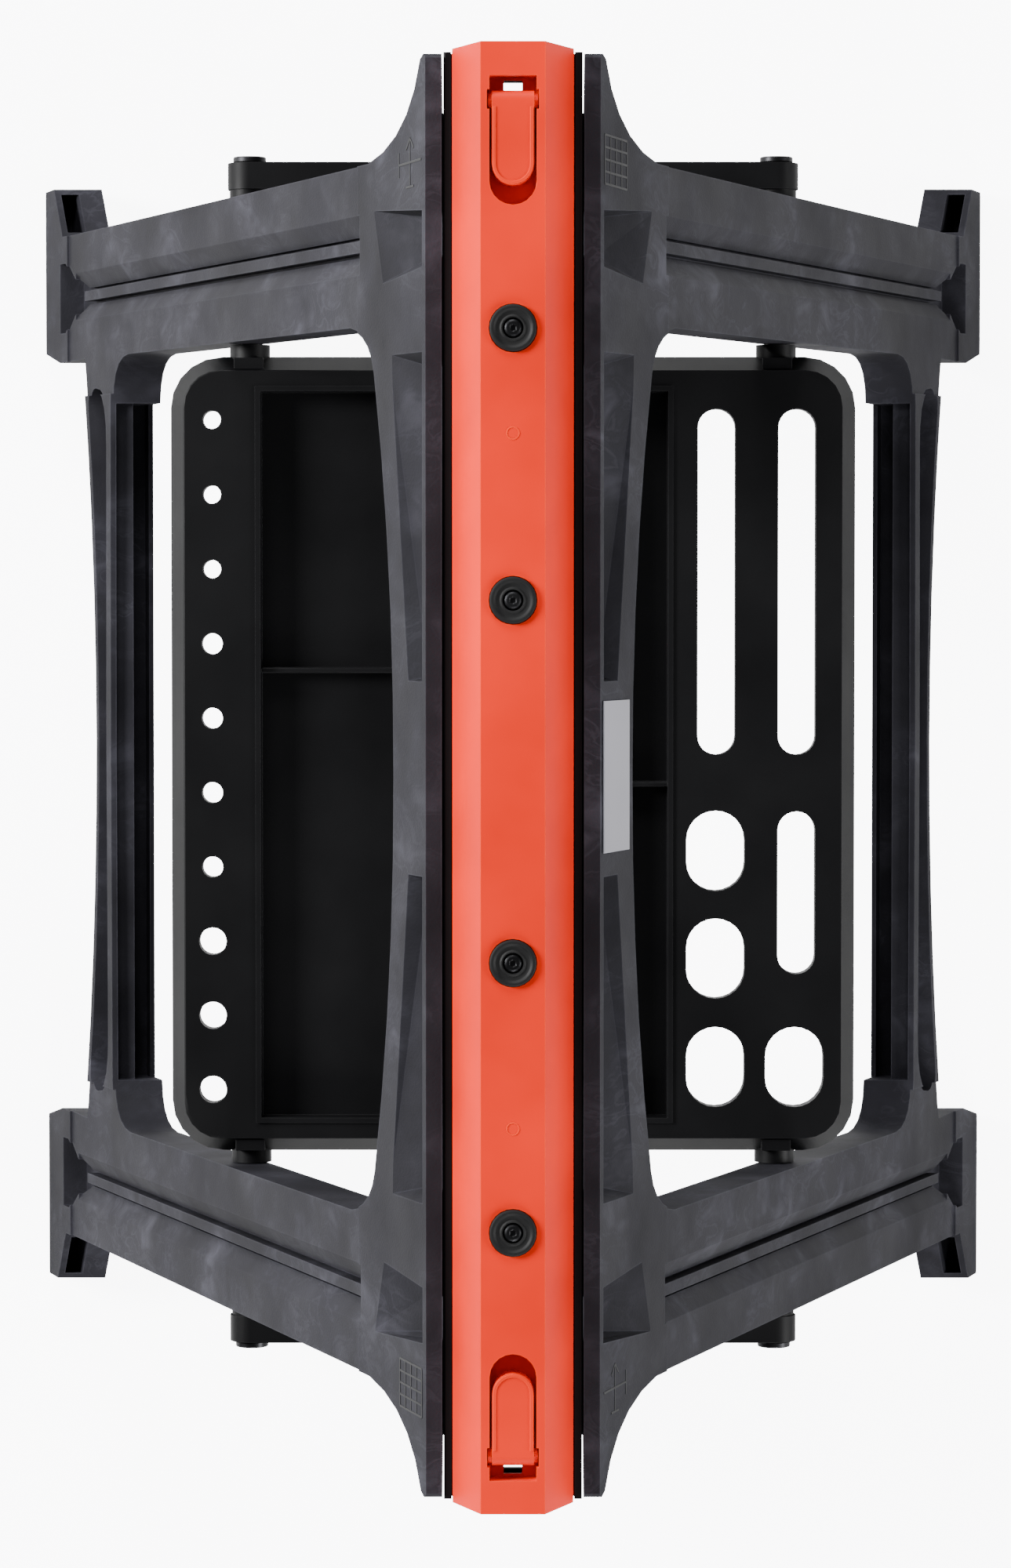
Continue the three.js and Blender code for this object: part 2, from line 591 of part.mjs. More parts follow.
// ---------------------------------------------------------------- braces
// The tongue lies outside the lap at the half's own +Y end and inside it at the other end.
function brace(end) {
  const { y0, y1, lap, half, tongue, tip } = BRACE;
  const [t0, t1] = end > 0 ? [lap + 0.4, y1] : [y0, lap - 0.4];
  const body = joined([
    endBox(end, tongue, PIVOT.x, y0, y1, PIVOT.z - half, PIVOT.z + half),
    endRod(end, half, y0, y1, PIVOT.x, PIVOT.z, 20),
    endBox(end, 0, tongue + 1, t0, t1, PIVOT.z - tip, PIVOT.z + tip),
    endRod(end, tip, t0, t1, 0, PIVOT.z, 20),
    endRod(end, PIVOT.boss, 304.8, y0 + 1, PIVOT.x, PIVOT.z, 20),
  ]);
  const depth = half - 4;
  const panel = endBox(end, tongue + 8, PIVOT.x - 22, y1 - 2.5, y1 + 1, PIVOT.z - depth, PIVOT.z + depth);
  const bores = [
    endRod(end, PIVOT.bore, 300, 330, PIVOT.x, PIVOT.z),
    endRod(end, RIVET.r + GAP, 300, 330, 0, PIVOT.z, 12),
  ];
  return without(body, [panel, ...bores]);
}

function pivotBolt(end) {
  const tail = TRAY.half - 13;
  const shank = endRod(end, PIVOT.pin, tail, BRACE.y1 + 1, PIVOT.x, PIVOT.z);
  const head = endRod(end, 9, BRACE.y1 + GAP, BRACE.y1 + 3.5, PIVOT.x, PIVOT.z, 16);
  return shank.add(head);
}

function pivotClip(end) {
  const y = TRAY.half - 11.3;
  const ring = endRod(end, 8.5, y, y + 3, PIVOT.x, PIVOT.z, 16);
  return ring.subtract(endRod(end, PIVOT.pin + GAP, y - 1, y + 4, PIVOT.x, PIVOT.z));
}

function lapRivet(end) {
  const head = endRod(end, RIVET.head, BRACE.y1 + GAP, BRACE.y1 + RIVET.headThick, 0, PIVOT.z, 20);
  return head.add(endRod(end, RIVET.r, BRACE.lap + 0.6, BRACE.y1 + 1, 0, PIVOT.z, 12));
}

function centrePin([y0, y1]) {
  return rodY(RIVET.r, y0 - 0.8, y1 + 0.8, 0, PIVOT.z, 12);
}

// ---------------------------------------------------------------- assembly
const trestle = new THREE.Group();
place("top_cap", topCap(), orange, trestle);
place("spine_beam", spineBeam(), black, trestle);
PAD_YS.forEach((y, i) => {
  place(`grip_pad_${i + 1}`, gripPad(y), rubber, trestle);
  place(`pad_screw_${i + 1}`, padScrew(y), steel, trestle);
});
place("end_stop_front", flipStop(-1), orange, trestle);
place("end_stop_rear", flipStop(1), orange, trestle);

// Each side is built as the right-hand one; the left-hand one is the same turned half round.
function addSide(side, sign, tray) {
  const group = new THREE.Group();
  group.rotation.z = sign > 0 ? 0 : Math.PI;
  trestle.add(group);
  place(`leg_frame_${side}`, legFrame(), grey, group);
  place(`tray_${side}`, tray, black, group);
  for (const end of [-1, 1]) {
    const where = `${side}_${sign * end > 0 ? "rear" : "front"}`;
    place(`foot_pad_${where}`, footPad(end), rubber, group);
    place(`leg_hinge_pin_${where}`, hingePin(end), steel, group);
    place(`brace_${where}`, brace(end), black, group);
    place(`pivot_bolt_${where}`, pivotBolt(end), steel, group);
    place(`pivot_clip_${where}`, pivotClip(end), steel, group);
  }
  place(`brace_rivet_${side}`, lapRivet(1), steel, group);
  place(`tray_pin_${side}_1`, centrePin(TRAY_LUG.lanes[0]), steel, group);
  place(`tray_pin_${side}_2`, centrePin(TRAY_LUG.lanes[1]), steel, group);
  if (sign > 0) place("rail_label", railLabel(), film, group);
}
addSide("right", 1, trayHalf(RIGHT_OPENINGS, 84.7, -16));
addSide("left", -1, trayHalf(LEFT_OPENINGS, 138, -46.6));

export default trestle;
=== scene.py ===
"""Folding sawhorse: the finished surfaces, small fittings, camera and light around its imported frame.

The frame's own axes are used: +Z up, +Y along the beam, +X across the spread of the legs. Sizes of
turned and swept parts are in millimetres, and everything in the scene is in metres. Moulded pieces
are made from the frame's bodies with their edges rounded. Grip pads, gate rings and foot treads are
repeated by Geometry Nodes.
"""

import json
import logging
import math
from dataclasses import dataclass
from enum import Enum

import bmesh
import bpy
from mathutils import Matrix, Vector
from mathutils.geometry import intersect_point_line

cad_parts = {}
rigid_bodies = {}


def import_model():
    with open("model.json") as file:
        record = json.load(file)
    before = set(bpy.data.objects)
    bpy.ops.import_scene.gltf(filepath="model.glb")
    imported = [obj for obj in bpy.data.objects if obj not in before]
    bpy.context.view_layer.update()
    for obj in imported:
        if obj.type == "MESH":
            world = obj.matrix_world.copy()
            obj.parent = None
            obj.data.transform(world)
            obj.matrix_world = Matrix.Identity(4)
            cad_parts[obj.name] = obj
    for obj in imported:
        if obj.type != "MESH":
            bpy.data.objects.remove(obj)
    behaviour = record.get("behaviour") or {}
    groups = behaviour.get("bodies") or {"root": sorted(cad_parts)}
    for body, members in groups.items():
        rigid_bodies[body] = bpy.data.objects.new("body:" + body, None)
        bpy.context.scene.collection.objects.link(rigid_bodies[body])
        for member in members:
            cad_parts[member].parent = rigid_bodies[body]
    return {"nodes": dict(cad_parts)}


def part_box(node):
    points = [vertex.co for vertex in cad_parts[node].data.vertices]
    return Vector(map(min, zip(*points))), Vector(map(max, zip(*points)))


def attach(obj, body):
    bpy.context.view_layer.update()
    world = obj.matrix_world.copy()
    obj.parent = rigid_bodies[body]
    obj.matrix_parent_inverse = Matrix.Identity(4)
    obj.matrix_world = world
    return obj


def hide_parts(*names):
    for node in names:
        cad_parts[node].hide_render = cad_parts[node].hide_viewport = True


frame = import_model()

LOG = logging.getLogger("sawhorse")
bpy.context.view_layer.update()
MM = 0.001

# Cleaning a moulded body: welds, slivers and nearly flat folds that are taken out
WELD = 0.01 * MM
SLIVER = 0.05 * MM
FLAT_FOLD = 0.8

# Rounding: the smallest fold of a real edge, and how an edge that runs along X is told
CURVE_FACET = 27.0
ALONG_X = 0.97

# Rounding: share of the free width that is used, and how it eases off where a face would tear
ROOM_SHARE = 0.42
WIDEST = 1.0
LARGEST_HALF_TURN = 1.5
EASE = 0.4
EASE_ROUNDS = 8
OVERLAP = 1.002
TINY_AREA = 1e-9

# Angles in degrees past which an edge is shaded sharp
MOULD_SHARP = 60.0
RIM_SHARP = 40.0
ROW_SHARP = 35.0

# Shared by every finish: tone of the moulding and depth of its grain
TONE = (0.3, 0.7)
DARKER = 0.78
ROUGHNESS_DRIFT = 0.05
CLOUDINESS = 0.3
GRAIN_DEPTH = 0.4 * MM


class Slot(Enum):
    """Names of the record's material slots."""

    CAP = "cap_orange"
    LEG = "leg_foam"
    BLACK = "black_plastic"
    RUBBER = "grip_rubber"
    STEEL = "zinc_steel"
    LABEL = "label_film"


class End(Enum):
    """The two ends of the beam and the sign of their Y."""

    FRONT = -1
    REAR = 1


# ---------------------------------------------------------------- shader parts
class Nodes:
    """A thin helper over a node tree that adds and links nodes in one call."""

    def __init__(self, tree: bpy.types.NodeTree) -> None:
        """Keeps the tree that nodes are added to."""
        self.tree = tree

    def add(self, kind: str, links: dict | None = None, **settings: object) -> bpy.types.Node:
        """Adds one node.

        Args:
            kind: The node's type name.
            links: Input name or index to an output socket or a plain value.
            settings: Attributes to set on the node.

        Returns:
            The new node.
        """
        node = self.tree.nodes.new(kind)
        for key, value in settings.items():
            setattr(node, key, value)
        for key, value in (links or {}).items():
            socket = node.inputs[key]
            if isinstance(value, bpy.types.NodeSocket):
                self.tree.links.new(value, socket)
            else:
                socket.default_value = value
        return node

    def math(self, operation: str, a: object, b: object, clamp: bool = False) -> bpy.types.NodeSocket:
        """Returns the result of one Math node."""
        return self.add("ShaderNodeMath", {0: a, 1: b}, operation=operation, use_clamp=clamp).outputs[0]

    def spread(
        self, value: object, low: float, high: float, to_low: float = 0.0, to_high: float = 1.0
    ) -> bpy.types.NodeSocket:
        """Returns value mapped from low..high to to_low..to_high, clamped."""
        links = {"Value": value, "From Min": low, "From Max": high, "To Min": to_low, "To Max": to_high}
        return self.add("ShaderNodeMapRange", links).outputs[0]

    def blend(self, factor: object, a: object, b: object) -> bpy.types.NodeSocket:
        """Returns two colours mixed by a factor."""
        return self.add("ShaderNodeMix", {"Factor": factor, 6: a, 7: b}, data_type="RGBA").outputs[2]


def shader_group(
    name: str, inputs: dict[str, float], outputs: tuple[str, ...]
) -> tuple[bpy.types.NodeTree, Nodes, bpy.types.Node, bpy.types.Node]:
    """Starts a shader node group.

    Args:
        name: The group's name.
        inputs: Input name to default value, all plain numbers.
        outputs: Names of the float outputs.

    Returns:
        The group, its helper, its input node and its output node.
    """
    group = bpy.data.node_groups.new(name, "ShaderNodeTree")
    for label, value in inputs.items():
        socket = group.interface.new_socket(label, in_out="INPUT", socket_type="NodeSocketFloat")
        socket.default_value = value
    for label in outputs:
        group.interface.new_socket(label, in_out="OUTPUT", socket_type="NodeSocketFloat")
    nodes = Nodes(group)
    return group, nodes, nodes.add("NodeGroupInput"), nodes.add("NodeGroupOutput")


def grain_group() -> bpy.types.NodeTree:
    """Builds the moulded grain: fine pebbles with a slow swell below them.

    Returns:
        The group, with the height of the grain and the tone of the swell.
    """
    group, nodes, source, sink = shader_group(
        "moulded_grain", {"Pebble Size": 0.0009, "Swell": 0.4}, ("Height", "Tone")
    )
    place = nodes.add("ShaderNodeTexCoord").outputs["Object"]
    scale = nodes.math("DIVIDE", 1.0, source.outputs["Pebble Size"])
    pebbles = nodes.add("ShaderNodeTexNoise", {"Vector": place, "Scale": scale, "Detail": 2.0})
    swell = nodes.add("ShaderNodeTexNoise", {"Vector": place, "Scale": 14.0, "Detail": 3.0})
    slow = nodes.math("MULTIPLY", swell.outputs[0], source.outputs["Swell"])
    height = nodes.math("ADD", pebbles.outputs[0], slow)
    nodes.tree.links.new(height, sink.inputs["Height"])
    nodes.tree.links.new(swell.outputs[0], sink.inputs["Tone"])
    return group


def edge_highlight_group() -> bpy.types.NodeTree:
    """Builds the painted edge highlight: a mask, bright where a surface turns over an edge.

    Returns:
        The group, with the mask of the painted highlight.
    """
    flat_enough, turned_over = 0.995, 0.9
    group, nodes, source, sink = shader_group("worn_edges", {"Width": 0.001, "Patchy": 0.6}, ("Mask",))
    round_normal = nodes.add("ShaderNodeBevel", {"Radius": source.outputs["Width"]}, samples=4).outputs[0]
    flat_normal = nodes.add("ShaderNodeNewGeometry").outputs["Normal"]
    turn = nodes.add("ShaderNodeVectorMath", {0: round_normal, 1: flat_normal}, operation="DOT_PRODUCT")
    edge = nodes.spread(turn.outputs["Value"], flat_enough, turned_over)
    place = nodes.add("ShaderNodeTexCoord").outputs["Object"]
    patches = nodes.add("ShaderNodeTexNoise", {"Vector": place, "Scale": 120.0, "Detail": 4.0}).outputs[0]
    patchy = nodes.spread(patches, 0.35, 0.7)
    kept = nodes.math("SUBTRACT", 1.0, nodes.math("MULTIPLY", source.outputs["Patchy"], patchy))
    nodes.tree.links.new(nodes.math("MULTIPLY", edge, kept, clamp=True), sink.inputs["Mask"])
    return group


def swirl_group() -> bpy.types.NodeTree:
    """Builds the pale flow marks of structural foam: drawn-out wisps in broken patches.

    Returns:
        The group, with the mask of the marks and a slow cloud over the whole moulding.
    """
    stretch, smeared, patchy, cloudy = (1.0, 1.6, 0.7), (0.5, 0.72), (0.45, 0.68), (0.3, 0.75)
    streak_at, streak_width, streak_strength = 0.47, 0.03, 0.45
    group, nodes, source, sink = shader_group(
        "foam_swirls", {"Size": 0.03, "Amount": 1.0}, ("Mask", "Cloud")
    )
    place = nodes.add("ShaderNodeTexCoord").outputs["Object"]
    scale = nodes.math("DIVIDE", 1.0, source.outputs["Size"])
    drawn = nodes.add("ShaderNodeMapping", {"Vector": place, "Scale": stretch}).outputs[0]
    flowing = {"Vector": drawn, "Scale": scale, "Detail": 5.0, "Distortion": 0.9}
    wisps = nodes.add("ShaderNodeTexNoise", flowing)
    smear = nodes.spread(wisps.outputs[0], *smeared)
    ridge = nodes.math("ABSOLUTE", nodes.math("SUBTRACT", wisps.outputs[0], streak_at), 0.0)
    streak = nodes.math("MULTIPLY", nodes.spread(ridge, streak_width, 0.0), streak_strength)
    flow = nodes.math("MAXIMUM", smear, streak)
    blotches = {"Vector": place, "Scale": 11.0, "Detail": 4.0, "Roughness": 0.6}
    patch = nodes.add("ShaderNodeTexNoise", blotches).outputs[0]
    shown = nodes.spread(patch, *patchy)
    mask = nodes.math("MULTIPLY", nodes.math("MULTIPLY", flow, shown), source.outputs["Amount"], clamp=True)
    nodes.tree.links.new(mask, sink.inputs["Mask"])
    nodes.tree.links.new(nodes.spread(patch, *cloudy), sink.inputs["Cloud"])
    return group


@dataclass(frozen=True)
class Finish:
    """A moulded or metal finish: its colours in linear light, how rough it is and how strongly a highlight
    is painted on its edges.

    The pale colour is painted on the edges as a highlight and also shows in the flow marks. The pebbles of
    the grain are in metres.
    """

    name: str
    base: tuple[float, float, float]
    pale: tuple[float, float, float]
    roughness: float
    pebble: float = 0.0009
    bump: float = 0.12
    # Strength of the painted highlight: the pale colour laid along the edges.
    edge: float = 0.25
    swirl: float = 0.0
    metal: float = 0.0
    specular: float = 0.5

    def material(self, groups: dict[str, bpy.types.NodeTree]) -> bpy.types.Material:
        """Builds the material.

        Args:
            groups: The shared shader groups by name.

        Returns:
            The finished material.
        """
        made = bpy.data.materials.new(self.name)
        made.use_nodes = True
        made.node_tree.nodes.clear()
        nodes = Nodes(made.node_tree)
        grain = nodes.add("ShaderNodeGroup", {}, node_tree=groups["grain"])
        grain.inputs["Pebble Size"].default_value = self.pebble
        # The painted highlight on the edges.
        edges = nodes.add("ShaderNodeGroup", {}, node_tree=groups["edge"])
        base, pale = (*self.base, 1.0), (*self.pale, 1.0)
        dark = (*(DARKER * channel for channel in self.base), 1.0)
        colour = nodes.blend(nodes.spread(grain.outputs["Tone"], *TONE), dark, base)
        smoothest, roughest = self.roughness - ROUGHNESS_DRIFT, self.roughness + ROUGHNESS_DRIFT
        rough = nodes.spread(grain.outputs["Tone"], *TONE, smoothest, roughest)
        if self.swirl:
            swirls = nodes.add("ShaderNodeGroup", {}, node_tree=groups["swirl"])
            swirls.inputs["Amount"].default_value = self.swirl
            colour = nodes.blend(nodes.math("MULTIPLY", swirls.outputs["Cloud"], CLOUDINESS), colour, pale)
            colour = nodes.blend(swirls.outputs["Mask"], colour, pale)
        # Painted highlight: the pale colour laid along every rounded edge, in broken patches.
        colour = nodes.blend(nodes.math("MULTIPLY", edges.outputs["Mask"], self.edge), colour, pale)
        relief = {"Height": grain.outputs["Height"], "Strength": self.bump, "Distance": GRAIN_DEPTH}
        bump = nodes.add("ShaderNodeBump", relief)
        shader = nodes.add("ShaderNodeBsdfPrincipled", {"Base Color": colour, "Roughness": rough})
        shader.inputs["Metallic"].default_value = self.metal
        shader.inputs["Specular IOR Level"].default_value = self.specular
        nodes.tree.links.new(bump.outputs[0], shader.inputs["Normal"])
        nodes.add("ShaderNodeOutputMaterial", {"Surface": shader.outputs[0]})
        return made


# In each finish, edge sets how strongly a highlight is painted on the edges.
FINISHES = {
    Slot.CAP: Finish(
        "orange_cap",
        base=(0.87, 0.017, 0.0),
        pale=(1.0, 0.11, 0.02),
        roughness=0.5,
        bump=0.08,
        edge=0.4,
        specular=0.12,
    ),
    Slot.LEG: Finish(
        "foam_grey",
        base=(0.0086, 0.0083, 0.0108),
        pale=(0.062, 0.061, 0.077),
        roughness=0.7,
        pebble=0.0013,
        bump=0.35,
        edge=0.5,
        swirl=0.75,
        specular=0.1,
    ),
    Slot.BLACK: Finish(
        "satin_black",
        base=(0.0025, 0.0025, 0.003),
        pale=(0.02, 0.02, 0.022),
        roughness=0.5,
        pebble=0.0007,
        bump=0.1,
        specular=0.16,
    ),
    Slot.RUBBER: Finish(
        "soft_rubber",
        base=(0.003, 0.003, 0.0032),
        pale=(0.015, 0.015, 0.015),
        roughness=0.65,
        pebble=0.0006,
        bump=0.15,
        specular=0.3,
    ),
    Slot.STEEL: Finish(
        "black_zinc",
        base=(0.03, 0.03, 0.032),
        pale=(0.12, 0.12, 0.12),
        roughness=0.42,
        pebble=0.0006,
        bump=0.05,
        metal=1.0,
    ),
    Slot.LABEL: Finish(
        "silver_film",
        base=(0.24, 0.235, 0.27),
        pale=(0.5, 0.5, 0.55),
        roughness=0.4,
        pebble=0.0005,
        bump=0.03,
    ),
}


class Wardrobe:
    """Builds the shared shader groups and every material once, and dresses pieces in them."""

    def __init__(self) -> None:
        """Builds the groups and the materials."""
        # The edge group paints a highlight along the edges.
        groups = {"grain": grain_group(), "edge": edge_highlight_group(), "swirl": swirl_group()}
        self.materials = {slot: finish.material(groups) for slot, finish in FINISHES.items()}

    def dress(self, piece: bpy.types.Object, slot: Slot) -> None:
        """Gives a piece the one material of a slot.

        Args:
            piece: The piece to dress.
            slot: The slot whose finish it gets.
        """
        piece.data.materials.clear()
        piece.data.materials.append(self.materials[slot])


# ---------------------------------------------------------------- mesh making
def add_object(name: str, mesh: bpy.types.Mesh) -> bpy.types.Object:
    """Links a new object at the origin.

    Args:
        name: The object's name.
        mesh: Its mesh.

    Returns:
        The new object.
    """
    made = bpy.data.objects.new(name, mesh)
    bpy.context.scene.collection.objects.link(made)
    return made


def baked(piece: bpy.types.Object) -> None:
    """Replaces a piece's mesh by its evaluated one and removes its modifiers.

    Args:
        piece: The piece to fix in its final shape.
    """
    depsgraph = bpy.context.evaluated_depsgraph_get()
    mesh = bpy.data.meshes.new_from_object(piece.evaluated_get(depsgraph), depsgraph=depsgraph)
    piece.modifiers.clear()
    piece.data = mesh
    mesh.name = piece.name


def gap_between(one: bmesh.types.BMEdge, two: bmesh.types.BMEdge) -> float:
    """Measures between two edges of one flat face.

    Args:
        one: The first edge.
        two: The second edge.

    Returns:
        The shortest distance between them in metres.
    """
    gaps = []
    for first, second in ((one, two), (two, one)):
        start, end = (vert.co for vert in second.verts)
        for vert in first.verts:
            share = intersect_point_line(vert.co, start, end)[1]
            spot = start.lerp(end, min(1.0, max(0.0, share)))
            gaps.append((vert.co - spot).length)
    return min(gaps)


def edge_room(edge: bmesh.types.BMEdge, sharp: set[bmesh.types.BMEdge]) -> float:
    """Finds how wide an edge may be rounded before it meets another edge's rounding.

    Args:
        edge: The edge to round.
        sharp: Every edge that is rounded.

    Returns:
        The largest safe width in metres.
    """
    room = WIDEST
    for face in edge.link_faces:
        for other in face.edges:
            if other is edge:
                continue
            shared = [vert for vert in other.verts if vert in edge.verts]
            if shared:
                out = edge.other_vert(shared[0]).co - shared[0].co
                along = other.other_vert(shared[0]).co - shared[0].co
                turn = out.angle(along, 0.0)
                both = math.tan(min(turn / 2, LARGEST_HALF_TURN))
                reach = both if other in sharp else math.sin(turn)
                room = min(room, ROOM_SHARE * reach * along.length)
            else:
                room = min(room, ROOM_SHARE * gap_between(edge, other))
    return room


def is_fold(edge: bmesh.types.BMEdge, fold: float) -> bool:
    """Tells a real fold from the facets of a curve, which turn about X in a moulded frame.

    Args:
        edge: The edge to look at.
        fold: Smallest angle in degrees of a fold that doesn't run along X.

    Returns:
        True where the edge should be rounded.
    """
    if len(edge.link_faces) != 2:
        return False
    turn = math.degrees(edge.calc_face_angle(0.0))
    along = (edge.verts[1].co - edge.verts[0].co).normalized()
    return turn > CURVE_FACET or (turn > fold and abs(along.x) < ALONG_X)


def torn_faces(mesh: bpy.types.Mesh) -> set[int]:
    """Finds faces that a rounding has folded over.

    Args:
        mesh: The rounded mesh, with the number of the face each one came from.

    Returns:
        The numbers of the first faces that the torn ones came from.
    """
    mesh.calc_loop_triangles()
    covered = [0.0] * len(mesh.polygons)
    for triangle in mesh.loop_triangles:
        covered[triangle.polygon_index] += triangle.area
    origins = mesh.attributes["origin"].data
    limits = [OVERLAP * face.area + TINY_AREA for face in mesh.polygons]
    return {origins[i].value for i, (area, limit) in enumerate(zip(covered, limits)) if area > limit}


def rounded(mesh: bpy.types.Mesh, name: str, radius: float, steps: int) -> bpy.types.Object:
    """Rounds the weighted edges of a mesh, easing off wherever a face would fold over.

    Args:
        mesh: The mesh, with edge weights and face origins.
        name: The new piece's name.
        radius: Largest edge rounding in metres.
        steps: Faces across each rounding.

    Returns:
        The rounded piece.
    """
    piece = add_object(name, mesh)
    bevel = piece.modifiers.new("rounding", "BEVEL")
    bevel.width = radius
    bevel.segments = steps
    bevel.limit_method = "WEIGHT"
    bevel.use_clamp_overlap = False
    for _ in range(EASE_ROUNDS):
        depsgraph = bpy.context.evaluated_depsgraph_get()
        trial = bpy.data.meshes.new_from_object(piece.evaluated_get(depsgraph), depsgraph=depsgraph)
        torn = torn_faces(trial)
        bpy.data.meshes.remove(trial)
        if not torn:
            break
        ease_off(mesh, torn)
        piece.update_tag()
    return piece


def ease_off(mesh: bpy.types.Mesh, torn: set[int]) -> None:
    """Makes the rounding much narrower along the edges of the torn faces.

    Args:
        mesh: The mesh with edge weights, before its rounding.
        torn: Numbers of its faces that would fold over.
    """
    weights = mesh.attributes["bevel_weight_edge"].data
    edges = {key for number in torn for key in mesh.polygons[number].edge_keys}
    for edge in mesh.edges:
        if edge.key in edges:
            weights[edge.index].value *= EASE
    mesh.update()


def softened(node: str, name: str, radius: float, steps: int = 2, fold: float = 90.0) -> bpy.types.Object:
    """Makes a piece from a frame body with its edges rounded.

    Args:
        node: The frame node to copy.
        name: The new piece's name.
        radius: Largest edge rounding in metres; short edges get less.
        steps: Faces across each rounding.
        fold: Angle in degrees from which folds that don't run along X are rounded too.

    Returns:
        The new piece, which replaces the node.
    """
    mesh = frame["nodes"][node].data.copy()
    body = bmesh.new()
    body.from_mesh(mesh)
    bmesh.ops.remove_doubles(body, verts=body.verts, dist=WELD)
    bmesh.ops.dissolve_degenerate(body, edges=body.edges, dist=SLIVER)
    bmesh.ops.dissolve_limit(body, angle_limit=math.radians(FLAT_FOLD), verts=body.verts, edges=body.edges)
    weight = body.edges.layers.float.new("bevel_weight_edge")
    origin = body.faces.layers.int.new("origin")
    edges = {edge for edge in body.edges if is_fold(edge, fold)}
    for edge in edges:
        edge[weight] = min(1.0, edge_room(edge, edges) / radius)
    for number, face in enumerate(body.faces):
        face[origin] = number
    body.to_mesh(mesh)
    body.free()
    piece = rounded(mesh, name, radius, steps)
    smooth(piece, MOULD_SHARP)
    piece.modifiers.new("flat_faces", "WEIGHTED_NORMAL").keep_sharp = True
    baked(piece)
    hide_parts(node)
    return piece


def smooth(piece: bpy.types.Object, angle: float) -> None:
    """Shades a piece smooth, but for its sharp edges.

    Args:
        piece: The piece to shade.
        angle: Turn in degrees past which an edge stays sharp.
    """
    mesh = piece.data
    for face in mesh.polygons:
        face.use_smooth = True
    mesh.set_sharp_from_angle(angle=math.radians(angle))


def turned(profile: tuple[tuple[float, float], ...], sides: int) -> bpy.types.Mesh:
    """Turns a closed profile about Z.

    Args:
        profile: Radius and height of each corner, anticlockwise, in millimetres.
        sides: Number of steps round the turn.

    Returns:
        The turned ring as a mesh in metres.
    """
    verts, faces, count = [], [], len(profile)
    for i in range(sides):
        angle = 2 * math.pi * i / sides
        verts += [(r * MM * math.cos(angle), r * MM * math.sin(angle), z * MM) for r, z in profile]
        start, after = i * count, (i + 1) % sides * count
        for j in range(count):
            k = (j + 1) % count
            faces.append((start + j, after + j, after + k, start + k))
    mesh = bpy.data.meshes.new("turned")
    mesh.from_pydata(verts, [], faces)
    return mesh


@dataclass(frozen=True)
class Rib:
    """The section of a flat-topped rib in millimetres: its width, and the heights of foot and top.

    The top is a third narrower than the foot. On a rib that hangs down it is the lower of the two.
    """

    width: float
    foot_z: float
    top_z: float

    def corners(self) -> list[tuple[float, float]]:
        """Returns the share of the width and the height of each corner."""
        foot, top = 0.5, 0.33
        return [(foot, self.foot_z), (top, self.top_z), (-top, self.top_z), (-foot, self.foot_z)]


def swept(paths: list[list[tuple[float, float]]], rib: Rib) -> bpy.types.Mesh:
    """Lays a rib along each path in the XY plane.

    Args:
        paths: Corners of each open path in millimetres.
        rib: The rib's section.

    Returns:
        The ribs as one mesh in metres.
    """
    verts, faces = [], []
    section = rib.corners()
    for path in paths:
        points = [Vector(point) for point in path]
        first = len(verts)
        for i, point in enumerate(points):
            ahead = points[min(i + 1, len(points) - 1)] - points[max(i - 1, 0)]
            across = Vector((ahead.y, -ahead.x)).normalized() * rib.width
            for share, z in section:
                verts.append(((point.x + share * across.x) * MM, (point.y + share * across.y) * MM, z * MM))
        for i in range(len(points) - 1):
            a, b = first + 4 * i, first + 4 * i + 4
            faces += [(a + j, a + (j + 1) % 4, b + (j + 1) % 4, b + j) for j in range(4)]
        last = first + 4 * (len(points) - 1)
        faces += [(first + 3, first + 2, first + 1, first), (last, last + 1, last + 2, last + 3)]
    mesh = bpy.data.meshes.new("swept")
    mesh.from_pydata(verts, [], faces)
    body = bmesh.new()
    body.from_mesh(mesh)
    bmesh.ops.recalc_face_normals(body, faces=body.faces)
    body.to_mesh(mesh)
    body.free()
    return mesh


